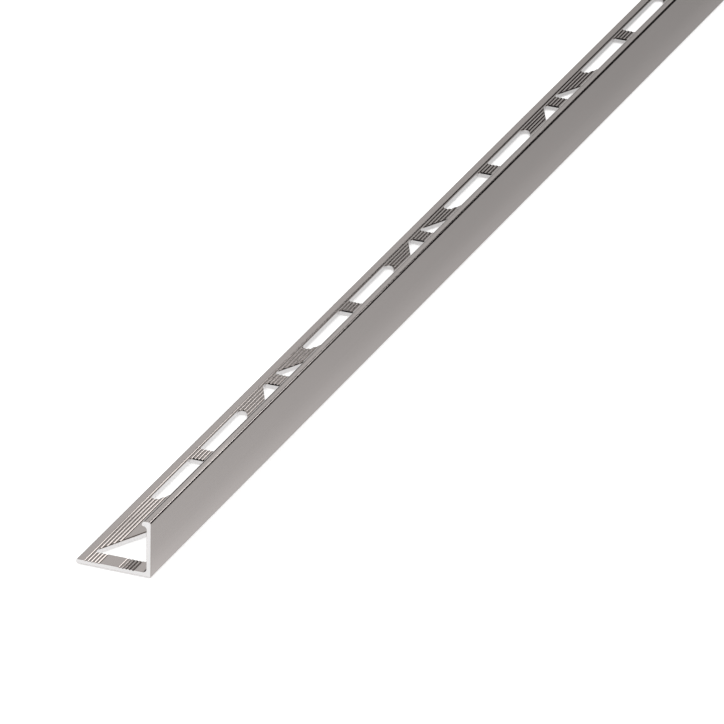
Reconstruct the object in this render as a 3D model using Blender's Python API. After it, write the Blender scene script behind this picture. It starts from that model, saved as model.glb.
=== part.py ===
"""Square edge tile trim: one straight length of extruded aluminium profile.

The profile is an L.  The upright wall is the face that stays in view at the edge of the
tiling, with a short lip at its top that turns in over the tile.  The flat leg is bedded in
adhesive under the tile.  It is grooved along its length and punched with right-angled
holes, leaving cross bridges and slanted struts, so that the adhesive keys through it.

Frame: metres, Z up, length along Y, outer face of the wall on the +X side, underside of
the leg on Z = 0, origin in the middle of the bounding box at its bottom.
"""

import math

import bmesh
import bpy
from mathutils import Matrix, Vector

# Overall sizes
LENGTH = 1.0
HEIGHT = 0.0125
LEG_WIDTH = 0.0165

# Wall, lip and leg.  Depths are measured from the outer face of the wall.
WALL_THICKNESS = 0.0010
LEG_THICKNESS = 0.0010
LIP_REACH = 0.0021
LIP_THICKNESS = 0.0012
LIP_NOSE_RADIUS = 0.00085
LIP_ROOT_FILLET = 0.0007
LEG_ROOT_FILLET = 0.0008
TOP_EDGE_RADIUS = 0.00055
BOTTOM_EDGE_RADIUS = 0.00015
LEG_TIP_RADIUS = 0.0003

# Grooves along the top of the leg, in two groups.  One group is set off from the inner face
# of the wall to its first groove, the other from the leg's tip to its last groove.
GROOVES_PER_GROUP = 5
GROOVE_PITCH = 0.00076
GROOVE_WIDTH = 0.0005
GROOVE_DEPTH = 0.00015
WALL_TO_GROOVES = 0.00292
TIP_TO_GROOVES = 0.00193

# Punched holes.  Each cell between two cross bridges holds two right-angled holes with a
# slanted strut between them: one is wide at the wall, the other wide at the leg's tip.
# Solid strips are left along the wall's inner face and along the tip.
WALL_STRIP = 0.0018
TIP_STRIP = 0.00238
NARROW_TIP_SIDE = 0.0016
NARROW_WALL_SIDE = 0.00106
STRUT_RUN = 0.00915
STRUT_SLOPE = 2.0
BRIDGE = 0.0049
ACUTE_CORNER_RADIUS = 0.0010
SQUARE_CORNER_RADIUS = 0.0005
OBTUSE_CORNER_RADIUS = 0.0008

# Feed of the punch.  The land after the first hole is long, and the visible strokes are
# fed a little unevenly.
END_LAND = 0.0044
LEAST_END_LAND = 0.0030
FIRST_LAND_EXTRA = 0.01325
FEED_SLIPS = (0.0, -0.0013, 0.0010)

# Finish of the metal
METAL_COLOUR = (0.52, 0.495, 0.475, 1.0)
METAL_ROUGHNESS = 0.34

# Modelling values
DRAWING_SCALE = 1000.0
WELD_DISTANCE = 0.000001
ARC_STEP_DEGREES = 15.0
HOLE_ARC_STEP_DEGREES = 20.0
CUTTER_OVERSHOOT = 0.001
SMOOTH_ANGLE_DEGREES = 20.0


def clear_scene():
    """Start from an empty scene."""
    for item in list(bpy.data.objects):
        bpy.data.objects.remove(item, do_unlink=True)


def new_collection(name, parent):
    """A new collection linked under its parent."""
    collection = bpy.data.collections.new(name)
    parent.children.link(collection)
    return collection


def metal():
    """Satin anodised aluminium in a warm grey."""
    material = bpy.data.materials.new("anodised_aluminium")
    material.use_nodes = True
    shader = material.node_tree.nodes["Principled BSDF"]
    shader.inputs["Base Color"].default_value = METAL_COLOUR
    shader.inputs["Metallic"].default_value = 1.0
    shader.inputs["Roughness"].default_value = METAL_ROUGHNESS
    return material


def arc(centre, radius, start, end, step=ARC_STEP_DEGREES):
    """Points along an arc from one angle to another in degrees, both ends included."""
    count = max(2, math.ceil(abs(end - start) / step))
    points = []
    for index in range(count + 1):
        angle = math.radians(start + (end - start) * index / count)
        points.append((centre[0] + radius * math.cos(angle), centre[1] + radius * math.sin(angle)))
    return points


def groove_points(first_centre):
    """The V grooves of one group, from the wall outwards, as (depth, height) points."""
    points = []
    for index in range(GROOVES_PER_GROUP):
        centre = first_centre + index * GROOVE_PITCH
        points.append((centre - GROOVE_WIDTH / 2, LEG_THICKNESS))
        points.append((centre, LEG_THICKNESS - GROOVE_DEPTH))
        points.append((centre + GROOVE_WIDTH / 2, LEG_THICKNESS))
    return points


def section_outline():
    """Outline of the profile as (distance from the outer face, height) points."""
    nose_height = HEIGHT - LIP_NOSE_RADIUS
    under_radius = LIP_THICKNESS - LIP_NOSE_RADIUS
    lip_underside = HEIGHT - LIP_THICKNESS

    points = arc((BOTTOM_EDGE_RADIUS, BOTTOM_EDGE_RADIUS), BOTTOM_EDGE_RADIUS, 270, 180)
    points += arc((TOP_EDGE_RADIUS, HEIGHT - TOP_EDGE_RADIUS), TOP_EDGE_RADIUS, 180, 90)
    points += arc((LIP_REACH - LIP_NOSE_RADIUS, nose_height), LIP_NOSE_RADIUS, 90, 0)
    points += arc((LIP_REACH - under_radius, nose_height), under_radius, 0, -90)[1:]
    lip_root = (WALL_THICKNESS + LIP_ROOT_FILLET, lip_underside - LIP_ROOT_FILLET)
    points += arc(lip_root, LIP_ROOT_FILLET, 90, 180)
    leg_root = (WALL_THICKNESS + LEG_ROOT_FILLET, LEG_THICKNESS + LEG_ROOT_FILLET)
    points += arc(leg_root, LEG_ROOT_FILLET, 180, 270)
    points += groove_points(WALL_THICKNESS + WALL_TO_GROOVES)
    group_width = (GROOVES_PER_GROUP - 1) * GROOVE_PITCH
    points += groove_points(LEG_WIDTH - TIP_TO_GROOVES - group_width)
    tip_centre = LEG_WIDTH - LEG_TIP_RADIUS
    points += arc((tip_centre, LEG_THICKNESS - LEG_TIP_RADIUS), LEG_TIP_RADIUS, 90, 0)
    points += arc((tip_centre, LEG_TIP_RADIUS), LEG_TIP_RADIUS, 0, -90)
    return points


def rounded_outline(corners):
    """Outline through (x, y, radius) corners, each corner rounded by its own radius."""
    points = []
    for index, (x, y, radius) in enumerate(corners):
        corner = Vector((x, y))
        before = (Vector(corners[index - 1][:2]) - corner).normalized()
        after = (Vector(corners[(index + 1) % len(corners)][:2]) - corner).normalized()
        half_angle = before.angle(after) / 2
        centre = corner + (before + after).normalized() * (radius / math.sin(half_angle))
        first = corner + before * (radius / math.tan(half_angle)) - centre
        last = corner + after * (radius / math.tan(half_angle)) - centre
        turn = math.atan2(first.x * last.y - first.y * last.x, first.dot(last))
        start = math.degrees(math.atan2(first.y, first.x))
        points += arc(centre, radius, start, start + math.degrees(turn), HOLE_ARC_STEP_DEGREES)
    return points


def hole_width():
    """Width of every punched hole across the leg."""
    return LEG_WIDTH - WALL_THICKNESS - WALL_STRIP - TIP_STRIP


def hole_outline(square_end, direction, wide_at_wall):
    """One punched hole as (distance from the outer face, distance along the length) points.

    The square end lies across the leg, and the hole runs from it in the given direction.
    """
    slanted_run = STRUT_SLOPE * hole_width()
    if wide_at_wall:
        tip_run = NARROW_TIP_SIDE
        wall_run = NARROW_TIP_SIDE + slanted_run
        radii = (OBTUSE_CORNER_RADIUS, ACUTE_CORNER_RADIUS)
    else:
        tip_run = NARROW_WALL_SIDE + slanted_run
        wall_run = NARROW_WALL_SIDE
        radii = (ACUTE_CORNER_RADIUS, OBTUSE_CORNER_RADIUS)
    wall_side = WALL_THICKNESS + WALL_STRIP
    tip_side = LEG_WIDTH - TIP_STRIP
    corners = [
        (tip_side, square_end, SQUARE_CORNER_RADIUS),
        (tip_side, square_end + direction * tip_run, radii[0]),
        (wall_side, square_end + direction * wall_run, radii[1]),
        (wall_side, square_end, SQUARE_CORNER_RADIUS),
    ]
    return rounded_outline(corners)


def cell_length(number):
    """Clear length between two bridges, with the slips of the punch feed."""
    clear = NARROW_TIP_SIDE + STRUT_RUN + NARROW_WALL_SIDE + STRUT_SLOPE * hole_width()
    if number == 0:
        return clear + FIRST_LAND_EXTRA
    stroke, second_half = divmod(number - 1, 2)
    if second_half and stroke < len(FEED_SLIPS):
        return clear + FEED_SLIPS[stroke]
    return clear


def hole_outlines():
    """Outlines of every punched hole, from the end in view to the far end."""
    outlines = []
    start = END_LAND
    number = 0
    while start + cell_length(number) <= LENGTH - LEAST_END_LAND:
        end = start + cell_length(number)
        wall_first = number % 2 == 0
        outlines.append(hole_outline(start, 1, wall_first))
        outlines.append(hole_outline(end, -1, not wall_first))
        start = end + BRIDGE
        number += 1
    return outlines


def extruded_solid(name, outlines, depth, placement):
    """A closed mesh object from flat outlines, extruded by depth about their plane."""
    drawing = bpy.data.curves.new(name, "CURVE")
    drawing.dimensions = "2D"
    drawing.fill_mode = "BOTH"
    drawing.extrude = depth / 2 * DRAWING_SCALE
    for outline in outlines:
        spline = drawing.splines.new("POLY")
        spline.points.add(len(outline) - 1)
        for point, (x, y) in zip(spline.points, outline):
            point.co = (x * DRAWING_SCALE, y * DRAWING_SCALE, 0.0, 1.0)
        spline.use_cyclic_u = True
    drawn = bpy.data.objects.new(name + "_drawing", drawing)
    drawn.matrix_world = placement @ Matrix.Scale(1.0 / DRAWING_SCALE, 4)
    bpy.context.scene.collection.objects.link(drawn)
    bpy.context.view_layer.update()

    evaluated = drawn.evaluated_get(bpy.context.evaluated_depsgraph_get())
    mesh = bpy.data.meshes.new_from_object(evaluated)
    mesh.name = name
    mesh.transform(drawn.matrix_world)
    bpy.data.objects.remove(drawn, do_unlink=True)
    bpy.data.curves.remove(drawing)

    welded = bmesh.new()
    welded.from_mesh(mesh)
    bmesh.ops.remove_doubles(welded, verts=welded.verts, dist=WELD_DISTANCE)
    bmesh.ops.recalc_face_normals(welded, faces=welded.faces)
    welded.to_mesh(mesh)
    welded.free()
    return bpy.data.objects.new(name, mesh)


def profile_bar(collection):
    """The extruded bar before it is punched, upright on its leg with its length along Y."""
    outline = [(LEG_WIDTH / 2 - depth, height) for depth, height in section_outline()]
    bar = extruded_solid("tile_trim", [outline], LENGTH, Matrix.Rotation(math.pi / 2, 4, "X"))
    bar.data.materials.clear()
    bar.data.materials.append(metal())
    bar.data.shade_smooth()
    bar.data.set_sharp_from_angle(angle=math.radians(SMOOTH_ANGLE_DEGREES))
    collection.objects.link(bar)
    return bar


def hole_punches(collection):
    """One object with a punch for every hole, longer than the leg is thick."""
    outlines = []
    for outline in hole_outlines():
        outlines.append([(LEG_WIDTH / 2 - depth, along - LENGTH / 2) for depth, along in outline])
    height = LEG_THICKNESS + 2 * CUTTER_OVERSHOOT
    placement = Matrix.Translation((0.0, 0.0, LEG_THICKNESS / 2))
    punches = extruded_solid("hole_punches", outlines, height, placement)
    punches.hide_render = True
    punches.display_type = "WIRE"
    collection.objects.link(punches)
    return punches


def punch_holes(bar, punches):
    """Cut the punched holes out of the leg."""
    cut = bar.modifiers.new("punched_holes", "BOOLEAN")
    cut.operation = "DIFFERENCE"
    cut.solver = "EXACT"
    cut.object = punches


def main():
    clear_scene()
    scene_collection = bpy.context.scene.collection
    parts = new_collection("square_edge_tile_trim", scene_collection)
    cutters = new_collection("cutters", scene_collection)
    bar = profile_bar(parts)
    punches = hole_punches(cutters)
    punch_holes(bar, punches)


main()
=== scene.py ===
"""Square edge tile trim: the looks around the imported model.

Run as a script. It is laid out as an add-on, with a panel in the 3D view's sidebar.
"""

import math

import bmesh
import bpy
from mathutils import Matrix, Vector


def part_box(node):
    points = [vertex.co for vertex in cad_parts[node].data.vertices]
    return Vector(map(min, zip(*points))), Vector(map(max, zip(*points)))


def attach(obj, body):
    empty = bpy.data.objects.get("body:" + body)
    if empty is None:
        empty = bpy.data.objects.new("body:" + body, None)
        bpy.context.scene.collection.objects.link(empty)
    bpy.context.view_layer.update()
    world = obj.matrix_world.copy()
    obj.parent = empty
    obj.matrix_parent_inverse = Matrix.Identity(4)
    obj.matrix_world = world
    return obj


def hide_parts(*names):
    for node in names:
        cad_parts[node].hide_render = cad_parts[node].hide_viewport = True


bl_info = {
    "name": "Square Edge Tile Trim",
    "version": (1, 0, 0),
    "blender": (4, 5, 0),
    "location": "3D View > Sidebar > Tile Trim",
    "description": "Dresses an extruded tile trim and sets up its studio picture",
    "category": "Object",
}

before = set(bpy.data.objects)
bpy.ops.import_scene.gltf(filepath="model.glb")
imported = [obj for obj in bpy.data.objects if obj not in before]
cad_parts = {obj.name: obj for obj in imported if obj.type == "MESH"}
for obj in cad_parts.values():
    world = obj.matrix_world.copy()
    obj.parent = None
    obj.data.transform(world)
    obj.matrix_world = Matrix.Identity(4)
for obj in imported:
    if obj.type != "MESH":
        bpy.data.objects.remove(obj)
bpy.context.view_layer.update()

TRIM_NODE = "tile_trim"
TRIM_LOW, TRIM_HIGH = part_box(TRIM_NODE)

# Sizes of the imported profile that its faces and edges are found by: heights, and how far the
# holes and the grooves reach to each side of the middle
LEG_TOP = 0.001
GROOVE_BOTTOM = 0.00085
HOLE_REACH = 0.0066
GROOVE_REACH = 0.0070

# How close counts as the same place, as at an end, and as in the plane of a sawn end
MERGE_DISTANCE = 0.000001
SAME_PLACE = 0.000002
AT_END = 0.0001
IN_END_PLANE = 0.00001

# Angles between faces: of one flat face, at a ridge, and from where shading breaks
FLAT_ANGLE = math.radians(0.3)
RIDGE_ANGLE = math.radians(12)
SHARP_ANGLE = math.radians(32)

# Least part of a face's normal along the axis that it faces, and most along one that it
# stands across
FACES_AXIS = 0.9
FACES_AXIS_CLOSELY = 0.99
ACROSS_AXIS = 0.1
ACROSS_AXIS_CLOSELY = 0.05

# Sizes of the marks in the metal and of the painted shade in the grooves. Real die lines, etch
# and scores are a few hundredths of a millimetre wide, and are drawn as coarse as the picture
# needs to show them.
DIE_LINE = 0.00022
DIE_DEPTH = 0.0000010
ETCH_GRAIN = 0.00025
ETCH_DEPTH = 0.0000012
BATH_CLOUD = 0.012
# Height over the groove bottoms within which the skin on the leg is darkened as painted shade
GROOVE_SHADE_HEIGHT = 0.00006
SAW_MARK = 0.00035
SAW_DEPTH = 0.000006
PUNCH_SCORE = 0.00018
PUNCH_DEPTH = 0.000006

# How the marks lie: die lines and clouds drawn out along Y, scores along Z, and saw marks
# turned about Y
DIE_STRETCH = 0.004
CLOUD_STRETCH = 0.3
SCORE_STRETCH = 0.12
SAW_TURN = math.radians(18)
# Length of one wave of Blender's wave texture at a scale of 1
WAVE_LENGTH = 0.314

# Where lines and clouds together lie, how far the skin's roughness and tone go with them to
# each side, and the roughness of the bare metals from their smooth to their rough parts
SURFACE_SPREAD = (0.7, 1.3)
SHEEN_SPREAD = 0.02
TONE_SPREAD = 0.03
SAWN_ROUGHNESS = (0.30, 0.42)
PUNCHED_ROUGHNESS = (0.25, 0.42)

# The paper on the floor: a little under the trim, lifted to white for the camera
FLOOR_SIZE = 8.0
FLOOR_HEIGHT = -0.0002
FLOOR_COLOUR = "#F4F4F4"
FLOOR_GLOW = 0.45

# The table as the metal mirrors it: brightest at the near end, falling off behind it, and a
# step darker beside the foot of the wall
TABLE_NEAR = -0.473
TABLE_FALL_LENGTH = 0.25
TABLE_FAR_LEVEL = 0.46
TABLE_MOST = 1.15
TABLE_STEP_PLACE = (0.0082, 0.0142)
TABLE_STEP_LEVELS = (1.03, 0.87)

# Panels around the object that only reflections see: name, width and height, place, turn in
# degrees, radiance from the lower edge to the upper one.
PANELS = (
    ("front_softbox", (0.10, 0.35), (0.130, -0.125, 0.285), (0.0, 21.0, 0.0), (3.8, 3.8)),
    ("left_flag", (0.22, 0.10), (-0.15, -0.28, 0.0505), (90.0, 0.0, 90.0), (0.02, 0.02)),
    ("right_flag", (1.23, 0.80), (0.585, 0.55, 0.40), (90.0, 0.0, 0.0), (0.01, 0.01)),
    ("back_flag", (0.27, 0.38), (-0.155, 0.57, 0.82), (90.0, 0.0, 0.0), (0.02, 0.02)),
    ("end_card", (0.016, 0.026), (0.001, -0.430, 0.044), (90.0, 0.0, 0.0), (1.5, 1.5)),
    ("left_fade", (1.10, 0.50), (-0.58, 0.56, 0.35), (90.0, 0.0, 0.0), (0.25, 1.02)),
    ("overhead_flag", (0.8, 2.0), (-0.55, -0.9, 1.0), (0.0, 0.0, 0.0), (0.01, 0.01)),
    ("upper_flag", (1.1, 0.9), (0.42, -0.05, 0.9), (0.0, 0.0, 0.0), (0.01, 0.01)),
    ("side_flag", (0.8, 1.3), (1.2, -0.30, 0.5), (0.0, 90.0, 0.0), (0.01, 0.01)),
    ("floor_flag", (0.54, 0.91), (0.33, -0.005, 0.0006), (0.0, 0.0, 0.0), (0.01, 0.01)),
)

# The fitted camera of the photograph
IMAGE_WIDTH = 724
SENSOR_WIDTH = 36.0
FOCAL_PIXELS = 11140.0
CAMERA_PLACE = (0.82024, -2.34309, 1.01181)
CAMERA_AZIMUTH = 22.579
CAMERA_ELEVATION = 25.552
CAMERA_ROLL = 0.862
CAMERA_NEAREST = 0.05


def linear(colour):
    """Scene-linear RGBA of an sRGB hex value."""
    channels = [int(colour[start:start + 2], 16) / 255 for start in (1, 3, 5)]
    values = [c / 12.92 if c <= 0.04045 else ((c + 0.055) / 1.055) ** 2.4 for c in channels]
    return (*values, 1.0)


def add_node(tree, kind, inputs=(), **settings):
    """Adds a shader node; an input is a number, a colour, or the socket that feeds it."""
    node = tree.nodes.new(kind)
    for name, value in settings.items():
        setattr(node, name, value)
    for socket, value in dict(inputs).items():
        if isinstance(value, bpy.types.NodeSocket):
            tree.links.new(value, node.inputs[socket])
        else:
            node.inputs[socket].default_value = value
    return node


def new_material(name):
    """An empty node material and its output node."""
    material = bpy.data.materials.new(name)
    material.use_nodes = True
    material.node_tree.nodes.clear()
    output = material.node_tree.nodes.new("ShaderNodeOutputMaterial")
    return material, material.node_tree, output


def anodised_material(finish):
    """Extruded aluminium, etched matt and anodised in its natural colour.

    The die leaves fine lines along the whole length, so the satin sheen is drawn out along the
    trim. The etch under the oxide gives an even, very fine grain, and the bath leaves faint
    clouds some centimetres long. The bottoms of the grooves on the leg are darkened with a
    painted shade.
    """
    material, tree, output = new_material("satin_anodised_aluminium")
    place = add_node(tree, "ShaderNodeTexCoord").outputs["Object"]
    along = add_node(tree, "ShaderNodeMapping",
                     {"Vector": place, "Scale": (1.0, DIE_STRETCH, 1.0)})
    lines = add_node(tree, "ShaderNodeTexNoise",
                     {"Vector": along.outputs[0], "Scale": 1 / DIE_LINE, "Detail": 3.0,
                      "Roughness": 0.6})
    grain = add_node(tree, "ShaderNodeTexNoise",
                     {"Vector": place, "Scale": 1 / ETCH_GRAIN, "Detail": 2.0})
    drift = add_node(tree, "ShaderNodeMapping",
                     {"Vector": place, "Scale": (1.0, CLOUD_STRETCH, 1.0)})
    clouds = add_node(tree, "ShaderNodeTexNoise",
                      {"Vector": drift.outputs[0], "Scale": 1 / BATH_CLOUD, "Detail": 2.0})
    surface = add_node(tree, "ShaderNodeMath", {0: lines.outputs[0], 1: clouds.outputs[0]},
                       operation="ADD")
    sheen = add_node(tree, "ShaderNodeMapRange",
                     {"Value": surface.outputs[0], "From Min": SURFACE_SPREAD[0],
                      "From Max": SURFACE_SPREAD[1], "To Min": finish.roughness - SHEEN_SPREAD,
                      "To Max": finish.roughness + SHEEN_SPREAD})
    light_colour = [channel * (1 + TONE_SPREAD) for channel in finish.colour[:3]]
    dark_colour = [channel * (1 - TONE_SPREAD) for channel in finish.colour[:3]]
    shade = add_node(tree, "ShaderNodeMapRange",
                     {"Value": surface.outputs[0], "From Min": SURFACE_SPREAD[0],
                      "From Max": SURFACE_SPREAD[1]})
    tone = add_node(tree, "ShaderNodeMix",
                    {"Factor": shade.outputs[0], "A": (*dark_colour, 1.0),
                     "B": (*light_colour, 1.0)}, data_type="RGBA")
    # Painted shade: within a small height over the groove bottoms, and only on the leg, the skin's
    # tone is multiplied by the groove shade colour
    spot = add_node(tree, "ShaderNodeSeparateXYZ", {0: place})
    over_bottom = add_node(tree, "ShaderNodeMath",
                           {0: spot.outputs["Z"], 1: GROOVE_BOTTOM}, operation="SUBTRACT")
    height = add_node(tree, "ShaderNodeMath", {0: over_bottom.outputs[0]}, operation="ABSOLUTE")
    on_leg = add_node(tree, "ShaderNodeMath", {0: spot.outputs["X"], 1: 0.0, 2: GROOVE_REACH},
                      operation="COMPARE")
    groove_shade_factor = add_node(tree, "ShaderNodeMapRange",
                    {"Value": height.outputs[0], "From Min": 0.0, "From Max": GROOVE_SHADE_HEIGHT,
                     "To Min": on_leg.outputs[0], "To Max": 0.0})
    groove_shaded_tone = add_node(tree, "ShaderNodeMix",
                       {"Factor": groove_shade_factor.outputs[0], "A": tone.outputs["Result"],
                        "B": finish.groove_shade_colour}, data_type="RGBA", blend_type="MULTIPLY")
    drawn = add_node(tree, "ShaderNodeBump",
                     {"Strength": 1.0, "Distance": DIE_DEPTH, "Height": lines.outputs[0]})
    etched = add_node(tree, "ShaderNodeBump",
                      {"Strength": 1.0, "Distance": ETCH_DEPTH, "Height": grain.outputs[0],
                       "Normal": drawn.outputs[0]})
    skin = add_node(tree, "ShaderNodeBsdfPrincipled",
                    {"Metallic": 1.0, "Base Color": groove_shaded_tone.outputs["Result"],
                     "Roughness": sheen.outputs[0], "Normal": etched.outputs[0]})
    tree.links.new(skin.outputs[0], output.inputs["Surface"])
    return material


def sawn_material(finish):
    """Bare aluminium from the saw: bright, with the marks of the teeth side by side."""
    material, tree, output = new_material("sawn_aluminium")
    place = add_node(tree, "ShaderNodeTexCoord").outputs["Object"]
    across = add_node(tree, "ShaderNodeMapping",
                      {"Vector": place, "Rotation": (0.0, SAW_TURN, 0.0)})
    marks = add_node(tree, "ShaderNodeTexWave",
                     {"Vector": across.outputs[0], "Scale": WAVE_LENGTH / SAW_MARK,
                      "Distortion": 3.0, "Detail": 2.0, "Detail Scale": 1.5})
    sheen = add_node(tree, "ShaderNodeMapRange",
                     {"Value": marks.outputs["Fac"], "To Min": SAWN_ROUGHNESS[0],
                      "To Max": SAWN_ROUGHNESS[1]})
    ridged = add_node(tree, "ShaderNodeBump",
                      {"Strength": 1.0, "Distance": SAW_DEPTH, "Height": marks.outputs["Fac"]})
    bare = add_node(tree, "ShaderNodeBsdfPrincipled",
                    {"Metallic": 1.0, "Base Color": finish.cut_colour,
                     "Roughness": sheen.outputs[0], "Normal": ridged.outputs[0]})
    tree.links.new(bare.outputs[0], output.inputs["Surface"])
    return material


def punched_material(finish):
    """Bare aluminium from the punch: rubbed bright, with scores up and down the hole's wall."""
    material, tree, output = new_material("punched_aluminium")
    place = add_node(tree, "ShaderNodeTexCoord").outputs["Object"]
    upright = add_node(tree, "ShaderNodeMapping",
                       {"Vector": place, "Scale": (1.0, 1.0, SCORE_STRETCH)})
    scores = add_node(tree, "ShaderNodeTexNoise",
                      {"Vector": upright.outputs[0], "Scale": 1 / PUNCH_SCORE, "Detail": 3.0})
    sheen = add_node(tree, "ShaderNodeMapRange",
                     {"Value": scores.outputs[0], "From Min": 0.3, "From Max": 0.7,
                      "To Min": PUNCHED_ROUGHNESS[0], "To Max": PUNCHED_ROUGHNESS[1]})
    scored = add_node(tree, "ShaderNodeBump",
                      {"Strength": 1.0, "Distance": PUNCH_DEPTH, "Height": scores.outputs[0]})
    bare = add_node(tree, "ShaderNodeBsdfPrincipled",
                    {"Metallic": 1.0, "Base Color": finish.cut_colour,
                     "Roughness": sheen.outputs[0], "Normal": scored.outputs[0]})
    tree.links.new(bare.outputs[0], output.inputs["Surface"])
    return material


class TrimShape(bpy.types.PropertyGroup):
    """Sizes of the fine edges."""

    ridge_rounding: bpy.props.FloatProperty(
        name="Ridge rounding",
        description="Width of the rounding on the ridges between the grooves",
        default=0.00008,
        min=0.0,
        precision=6,
        unit="LENGTH",
    )
    hole_rollover: bpy.props.FloatProperty(
        name="Hole rollover",
        description="Width of the edge that the punch rolls over where a hole's wall faces -Y",
        default=0.00026,
        min=0.0,
        precision=6,
        unit="LENGTH",
    )
    end_deburring: bpy.props.FloatProperty(
        name="End deburring",
        description="Width of the edge broken round the sawn ends",
        default=0.00008,
        min=0.0,
        precision=6,
        unit="LENGTH",
    )


class TrimFinish(bpy.types.PropertyGroup):
    """Colours and texture of the metal, and the colour of the painted shade in the grooves."""

    colour: bpy.props.FloatVectorProperty(
        name="Anodised colour",
        description="Colour of the satin anodised skin",
        subtype="COLOR",
        size=4,
        min=0.0,
        max=1.0,
        default=linear("#A7A09D"),
    )
    # Painted shade: the colour that multiplies the skin at the bottoms of the grooves
    groove_shade_colour: bpy.props.FloatVectorProperty(
        name="Groove shade colour",
        description="How the painted shade in the grooves tints the skin: white leaves it unshaded",
        subtype="COLOR",
        size=4,
        min=0.0,
        max=1.0,
        default=linear("#746858"),
    )
    cut_colour: bpy.props.FloatVectorProperty(
        name="Cut metal colour",
        description="Colour of the bare metal on the sawn ends and in the punched holes",
        subtype="COLOR",
        size=4,
        min=0.0,
        max=1.0,
        default=linear("#E8E6E6"),
    )
    roughness: bpy.props.FloatProperty(
        name="Roughness",
        description="Roughness of the satin skin",
        default=0.18,
        min=0.0,
        max=1.0,
    )


def choose_edges(piece, test):
    """In edit mode, selects the edges that pass the test and nothing else."""
    bpy.ops.mesh.select_mode(type="EDGE")
    bpy.ops.mesh.select_all(action="DESELECT")
    shape = bmesh.from_edit_mesh(piece.data)
    for edge in shape.edges:
        if len(edge.link_faces) == 2 and test(edge):
            edge.select_set(True)
    bmesh.update_edit_mesh(piece.data)


def is_ridge(edge):
    """An edge along the trim where a groove's flank meets the top of the leg."""
    first, last = (corner.co for corner in edge.verts)
    level = abs(first.z - LEG_TOP) < SAME_PLACE and abs(last.z - LEG_TOP) < SAME_PLACE
    along = abs(first.x - last.x) < SAME_PLACE
    return level and along and edge.calc_face_angle(0.0) > RIDGE_ANGLE


def is_end_edge(edge):
    """An edge round a sawn end."""
    sawn = [face for face in edge.link_faces if abs(face.normal.y) > FACES_AXIS_CLOSELY]
    at_end = all(abs(corner.co.y) > TRIM_HIGH.y - AT_END for corner in edge.verts)
    return len(sawn) == 1 and at_end


def is_hole_foot(edge):
    """An edge between the underside of the leg and the wall of a punched hole."""
    upright = [face for face in edge.link_faces if abs(face.normal.z) < ACROSS_AXIS_CLOSELY]
    underside = [face for face in edge.link_faces if face.normal.z < -FACES_AXIS]
    inside = all(abs(corner.co.x) < HOLE_REACH for corner in edge.verts)
    off_end = all(abs(corner.co.y) < TRIM_HIGH.y - AT_END for corner in edge.verts)
    return len(upright) == 1 and len(underside) == 1 and inside and off_end


def copy_of_trim(name):
    """In edit mode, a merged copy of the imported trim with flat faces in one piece."""
    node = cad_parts[TRIM_NODE]
    bpy.ops.object.select_all(action="DESELECT")
    bpy.context.view_layer.objects.active = node
    node.select_set(True)
    bpy.ops.object.duplicate()
    piece = bpy.context.object
    piece.name = name
    bpy.ops.object.mode_set(mode="EDIT")
    bpy.ops.mesh.select_all(action="SELECT")
    bpy.ops.mesh.remove_doubles(threshold=MERGE_DISTANCE)
    bpy.ops.mesh.dissolve_limited(angle_limit=FLAT_ANGLE)
    return piece


def drawn_bar(settings):
    """The bar as it leaves the die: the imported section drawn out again, its ridges rounded."""
    bar = copy_of_trim("extruded_trim")
    bpy.ops.mesh.select_mode(type="FACE")
    bpy.ops.mesh.select_all(action="DESELECT")
    shape = bmesh.from_edit_mesh(bar.data)
    for face in shape.faces:
        at_end = face.calc_center_median().y < TRIM_LOW.y + AT_END
        face.select_set(not (at_end and face.normal.y < -FACES_AXIS_CLOSELY))
    bmesh.update_edit_mesh(bar.data)
    bpy.ops.mesh.delete(type="FACE")
    bpy.ops.mesh.select_all(action="SELECT")
    length = TRIM_HIGH.y - TRIM_LOW.y
    bpy.ops.mesh.extrude_region_move(TRANSFORM_OT_translate={"value": (0.0, length, 0.0)})
    bpy.ops.mesh.select_all(action="SELECT")
    bpy.ops.mesh.normals_make_consistent(inside=False)
    choose_edges(bar, is_ridge)
    bpy.ops.mesh.bevel(offset=settings.ridge_rounding, segments=4, clamp_overlap=False)
    bpy.ops.object.mode_set(mode="OBJECT")
    return bar


def drawn_punches(name, foot, draw):
    """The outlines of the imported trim's holes, laid at the height foot and drawn out by draw."""
    source = copy_of_trim("punch_source")
    choose_edges(source, is_hole_foot)
    bpy.ops.mesh.duplicate()
    bpy.ops.mesh.separate(type="SELECTED")
    bpy.ops.object.mode_set(mode="OBJECT")
    punches = [item for item in bpy.context.selected_objects if item != source][0]
    bpy.data.objects.remove(source, do_unlink=True)
    bpy.context.view_layer.objects.active = punches
    punches.name = name
    bpy.ops.object.mode_set(mode="EDIT")
    bpy.ops.mesh.select_all(action="SELECT")
    bpy.ops.mesh.edge_face_add()
    bpy.ops.mesh.select_all(action="SELECT")
    bpy.ops.transform.translate(value=(0.0, 0.0, foot))
    bpy.ops.mesh.extrude_region_move(TRANSFORM_OT_translate={"value": draw})
    bpy.ops.mesh.select_all(action="SELECT")
    bpy.ops.mesh.normals_make_consistent(inside=False)
    bpy.ops.object.mode_set(mode="OBJECT")
    return punches


def cut_away(bar, punches):
    """Cuts the punches out of the bar."""
    bpy.ops.object.select_all(action="DESELECT")
    bpy.context.view_layer.objects.active = bar
    bar.select_set(True)
    cut = bar.modifiers.new(punches.name, "BOOLEAN")
    cut.operation = "DIFFERENCE"
    cut.solver = "EXACT"
    cut.object = punches
    bpy.ops.object.modifier_apply(modifier=cut.name)
    bpy.data.objects.remove(punches, do_unlink=True)


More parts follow.
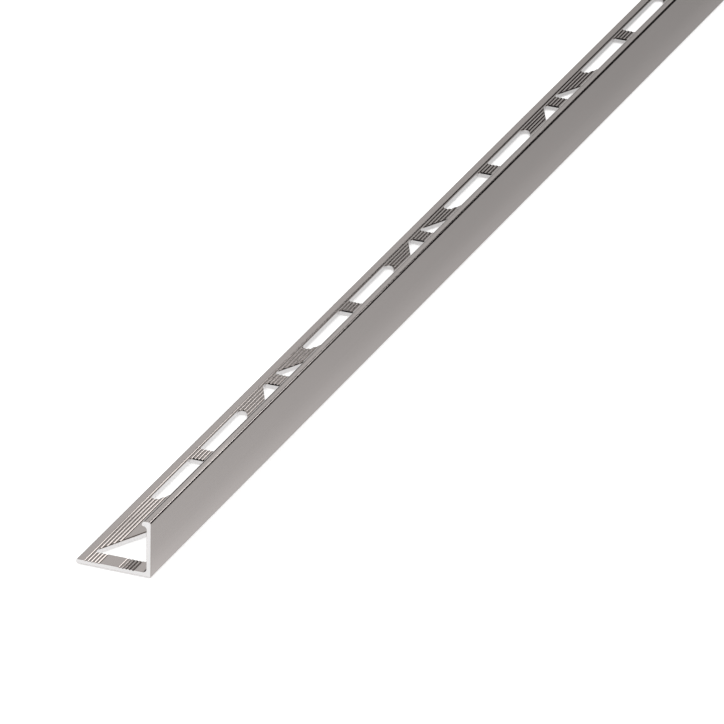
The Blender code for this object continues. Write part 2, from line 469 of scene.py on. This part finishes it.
def shape_trim(settings):
    """The trim with the fine edges that drawing, punching and sawing leave.

    The rim cutters lean away from the near end, so they break only the rims that face it.
    """
    bar = drawn_bar(settings)
    rolled = settings.hole_rollover
    lean = 1.5 * rolled
    cut_away(bar, drawn_punches("hole_punches", -LEG_TOP, (0.0, 0.0, 3 * LEG_TOP)))
    cut_away(bar, drawn_punches("rim_cutters", LEG_TOP - rolled, (0.0, lean, lean)))

    bpy.ops.object.mode_set(mode="EDIT")
    choose_edges(bar, is_end_edge)
    bpy.ops.mesh.bevel(offset=settings.end_deburring, segments=2, clamp_overlap=False)
    bpy.ops.mesh.select_all(action="DESELECT")
    bpy.ops.mesh.edges_select_sharp(sharpness=SHARP_ANGLE)
    bpy.ops.mesh.mark_sharp()
    bpy.ops.object.mode_set(mode="OBJECT")
    bpy.ops.object.shade_smooth()
    keep_large_faces_flat(bar)
    return bar


def keep_large_faces_flat(bar):
    """Lets the rounded edges bend the shading and the large faces stay flat.

    The modifier takes areas that differ by less than 0.01 as equal, so it works in millimetres.
    """
    bar.scale = (1000.0, 1000.0, 1000.0)
    bpy.ops.object.transform_apply(location=False, rotation=False, scale=True)
    weighted = bar.modifiers.new("large_faces_first", "WEIGHTED_NORMAL")
    weighted.keep_sharp = True
    weighted.thresh = 0.0
    bpy.ops.object.modifier_apply(modifier=weighted.name)
    bar.scale = (0.001, 0.001, 0.001)
    bpy.ops.object.transform_apply(location=False, rotation=False, scale=True)


def finish_faces(piece):
    """Gives the sawn faces the second material and the punched ones the third."""
    for face in piece.data.polygons:
        in_end_plane = abs(face.center.y) > TRIM_HIGH.y - IN_END_PLANE
        sawn = in_end_plane and abs(face.normal.y) > FACES_AXIS
        low = face.center.z < LEG_TOP and abs(face.center.x) < HOLE_REACH
        punched = low and abs(face.normal.z) < ACROSS_AXIS
        face.material_index = 1 if sawn else 2 if punched else 0


def lay_floor():
    """A sheet of white paper; the metal mirrors it as a table whose light falls off."""
    bpy.ops.object.select_all(action="DESELECT")
    bpy.ops.mesh.primitive_plane_add(size=FLOOR_SIZE, location=(0.0, 0.0, FLOOR_HEIGHT))
    floor = bpy.context.object
    floor.name = "floor"
    bpy.ops.object.transform_apply(location=True)
    material, tree, output = new_material("white_paper_floor")
    path = add_node(tree, "ShaderNodeLightPath")
    place = add_node(tree, "ShaderNodeSeparateXYZ",
                     {0: add_node(tree, "ShaderNodeTexCoord").outputs["Object"]})
    paper = add_node(tree, "ShaderNodeBsdfDiffuse", {"Color": linear(FLOOR_COLOUR)})
    glow = add_node(tree, "ShaderNodeEmission",
                    {"Color": (1, 1, 1, 1), "Strength": FLOOR_GLOW})
    lifted = add_node(tree, "ShaderNodeAddShader", {0: paper.outputs[0], 1: glow.outputs[0]})
    steps = add_node(tree, "ShaderNodeMath",
                     {0: place.outputs["Y"], 1: 1 / TABLE_FALL_LENGTH,
                      2: -TABLE_NEAR / TABLE_FALL_LENGTH}, operation="MULTIPLY_ADD")
    fall = add_node(tree, "ShaderNodeMath", {0: math.exp(-1), 1: steps.outputs[0]},
                    operation="POWER")
    level = add_node(tree, "ShaderNodeMath",
                     {0: fall.outputs[0], 1: 1 - TABLE_FAR_LEVEL, 2: TABLE_FAR_LEVEL},
                     operation="MULTIPLY_ADD")
    along = add_node(tree, "ShaderNodeMath", {0: level.outputs[0], 1: TABLE_MOST},
                     operation="MINIMUM")
    across = add_node(tree, "ShaderNodeMapRange",
                      {"Value": place.outputs["X"], "From Min": TABLE_STEP_PLACE[0],
                       "From Max": TABLE_STEP_PLACE[1], "To Min": TABLE_STEP_LEVELS[0],
                       "To Max": TABLE_STEP_LEVELS[1]}, interpolation_type="SMOOTHSTEP")
    both = add_node(tree, "ShaderNodeMath", {0: along.outputs[0], 1: across.outputs[0]},
                    operation="MULTIPLY")
    table = add_node(tree, "ShaderNodeEmission",
                     {"Color": (1, 1, 1, 1), "Strength": both.outputs[0]})
    seen = add_node(tree, "ShaderNodeMixShader",
                    {0: path.outputs["Is Camera Ray"], 1: paper.outputs[0],
                     2: lifted.outputs[0]})
    mirrored = add_node(tree, "ShaderNodeMixShader",
                        {0: path.outputs["Is Glossy Ray"], 1: seen.outputs[0],
                         2: table.outputs[0]})
    tree.links.new(mirrored.outputs[0], output.inputs["Surface"])
    floor.data.materials.append(material)


def hang_panels():
    """Hangs the panels that the metal mirrors and that nothing else sees."""
    for name, size, place, turn, radiance in PANELS:
        bpy.ops.object.select_all(action="DESELECT")
        bpy.ops.mesh.primitive_plane_add(size=1.0, location=place,
                                         rotation=[math.radians(angle) for angle in turn])
        panel = bpy.context.object
        panel.name = name
        panel.scale = (*size, 1.0)
        bpy.ops.object.transform_apply(location=True, rotation=True, scale=True)
        material, tree, output = new_material(name)
        glow = add_node(tree, "ShaderNodeEmission",
                        {"Color": (1, 1, 1, 1), "Strength": radiance[1]})
        if radiance[0] != radiance[1]:
            place_of = add_node(tree, "ShaderNodeTexCoord").outputs["Object"]
            height = add_node(tree, "ShaderNodeSeparateXYZ", {0: place_of})
            low = min(corner.co.z for corner in panel.data.vertices)
            high = max(corner.co.z for corner in panel.data.vertices)
            fade = add_node(tree, "ShaderNodeMapRange",
                            {"Value": height.outputs["Z"], "From Min": low, "From Max": high,
                             "To Min": radiance[0], "To Max": radiance[1]},
                            interpolation_type="SMOOTHSTEP")
            tree.links.new(fade.outputs["Result"], glow.inputs["Strength"])
        tree.links.new(glow.outputs[0], output.inputs["Surface"])
        panel.data.materials.append(material)
        panel.visible_camera = False
        panel.visible_diffuse = False
        panel.visible_shadow = False


def light_world(scene):
    """An even white studio all round."""
    world = bpy.data.worlds.new("studio")
    world.use_nodes = True
    scene.world = world
    tree = world.node_tree
    tree.nodes.clear()
    output = tree.nodes.new("ShaderNodeOutputWorld")
    sky = add_node(tree, "ShaderNodeBackground", {"Color": (1, 1, 1, 1), "Strength": 1.0})
    tree.links.new(sky.outputs[0], output.inputs["Surface"])


def set_camera(scene):
    """The camera that the photograph was taken with, as its edges give it."""
    data = bpy.data.cameras.new("photo_camera")
    data.sensor_width = SENSOR_WIDTH
    data.lens = FOCAL_PIXELS * SENSOR_WIDTH / IMAGE_WIDTH
    data.clip_start = CAMERA_NEAREST
    camera = bpy.data.objects.new("photo_camera", data)
    turn = Matrix.Rotation(math.radians(CAMERA_AZIMUTH), 4, "Z")
    tilt = Matrix.Rotation(math.radians(90 - CAMERA_ELEVATION), 4, "X")
    roll = Matrix.Rotation(math.radians(CAMERA_ROLL), 4, "Z")
    camera.matrix_world = Matrix.Translation(CAMERA_PLACE) @ turn @ tilt @ roll
    scene.collection.objects.link(camera)
    scene.camera = camera


class TRIM_OT_profile(bpy.types.Operator):
    """Model the extruded trim and give it its metal finish."""

    bl_idname = "trim.profile"
    bl_label = "Build the trim"

    def execute(self, context):
        settings = context.scene.trim_shape
        finish = context.scene.trim_finish
        piece = shape_trim(settings)
        piece.data.materials.clear()
        piece.data.materials.append(anodised_material(finish))
        piece.data.materials.append(sawn_material(finish))
        piece.data.materials.append(punched_material(finish))
        finish_faces(piece)
        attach(piece, "root")
        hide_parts(TRIM_NODE)
        return {"FINISHED"}


class TRIM_OT_stage(bpy.types.Operator):
    """Set the floor, the lights and the camera."""

    bl_idname = "trim.stage"
    bl_label = "Set the stage"

    def execute(self, context):
        scene = context.scene
        scene.view_settings.view_transform = "Standard"
        lay_floor()
        hang_panels()
        light_world(scene)
        set_camera(scene)
        return {"FINISHED"}


class TRIM_PT_sidebar(bpy.types.Panel):
    """Lists the sizes, the colours and the steps."""

    bl_idname = "TRIM_PT_sidebar"
    bl_label = "Tile Trim"
    bl_space_type = "VIEW_3D"
    bl_region_type = "UI"
    bl_category = "Tile Trim"

    def draw(self, context):
        scene = context.scene
        for group in (scene.trim_shape, scene.trim_finish):
            box = self.layout.box()
            for name in group.bl_rna.properties.keys():
                if name not in ("rna_type", "name"):
                    box.prop(group, name)
        for operator in (TRIM_OT_profile, TRIM_OT_stage):
            self.layout.operator(operator.bl_idname)


CLASSES = (TrimShape, TrimFinish, TRIM_OT_profile, TRIM_OT_stage, TRIM_PT_sidebar)


def register():
    for item in CLASSES:
        bpy.utils.register_class(item)
    bpy.types.Scene.trim_shape = bpy.props.PointerProperty(type=TrimShape)
    bpy.types.Scene.trim_finish = bpy.props.PointerProperty(type=TrimFinish)


def unregister():
    del bpy.types.Scene.trim_finish
    del bpy.types.Scene.trim_shape
    for item in reversed(CLASSES):
        bpy.utils.unregister_class(item)


def main():
    register()
    bpy.ops.trim.profile()
    bpy.ops.trim.stage()


if __name__ == "__main__":
    main()
